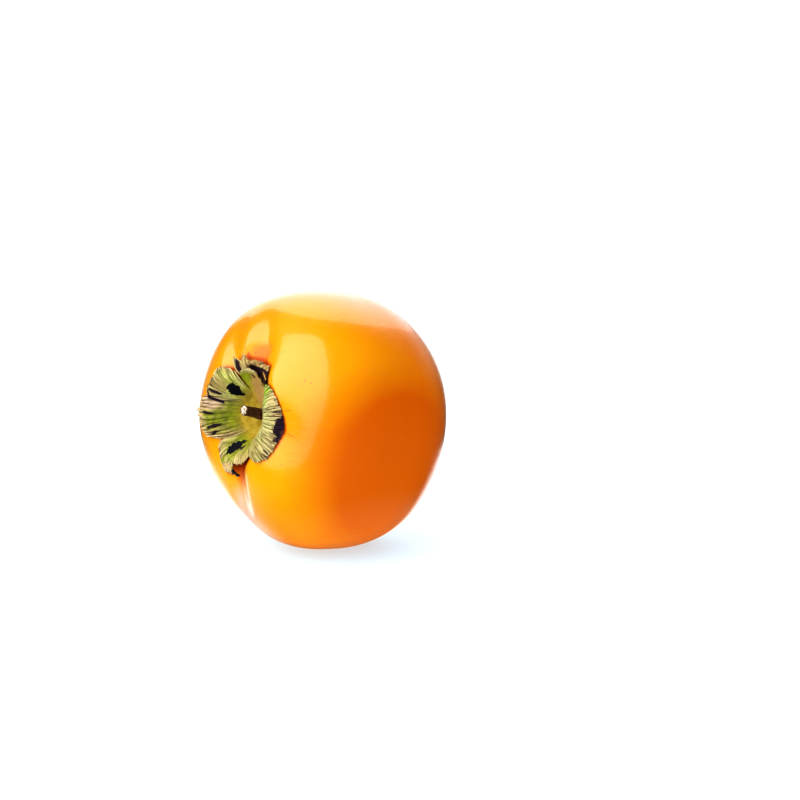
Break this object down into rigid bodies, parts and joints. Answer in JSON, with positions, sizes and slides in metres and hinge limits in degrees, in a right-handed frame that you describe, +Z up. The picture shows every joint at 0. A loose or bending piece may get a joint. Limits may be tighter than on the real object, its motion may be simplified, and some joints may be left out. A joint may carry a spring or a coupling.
{
  "type": "whole persimmon",
  "caption": "Whole ripe lobed persimmon lying on its side, with leathery wrinkled calyx and a short cut stem.",
  "frame": {"origin": "middle of the flat spot that the fruit rests on", "axes": "+Z up, -Y the way the calyx and stem face, raised about ten degrees, +X to the right as seen facing the calyx"},
  "size_m": [0.072, 0.0632, 0.0709],
  "materials": {
    "fruit_skin": "smooth waxy fruit skin, golden orange, deeper orange towards the apex",
    "calyx_disc": "matt velvety olive gold with a pinkish tan patch",
    "green_sepal": "matt green with radial wrinkles, brown dry edge and black patches",
    "dry_sepal": "dry brown, cracked and curled",
    "pale_sepal": "pale yellow-green with brown cross wrinkles and a dark purple edge",
    "stem_bark": "rough dark brown bark with a pale cut end",
    "dry_style": "dry, almost black"
  },
  "bodies": {
    "root": {"fruit": "fruit_skin", "calyx_disc": "calyx_disc", "sepal_top": "dry_sepal", "sepal_upper_left": "green_sepal", "sepal_left": "green_sepal", "sepal_bottom": "green_sepal", "sepal_right": "pale_sepal", "stem": "stem_bark", "style_tip": "dry_style"}
  },
  "joints": []
}
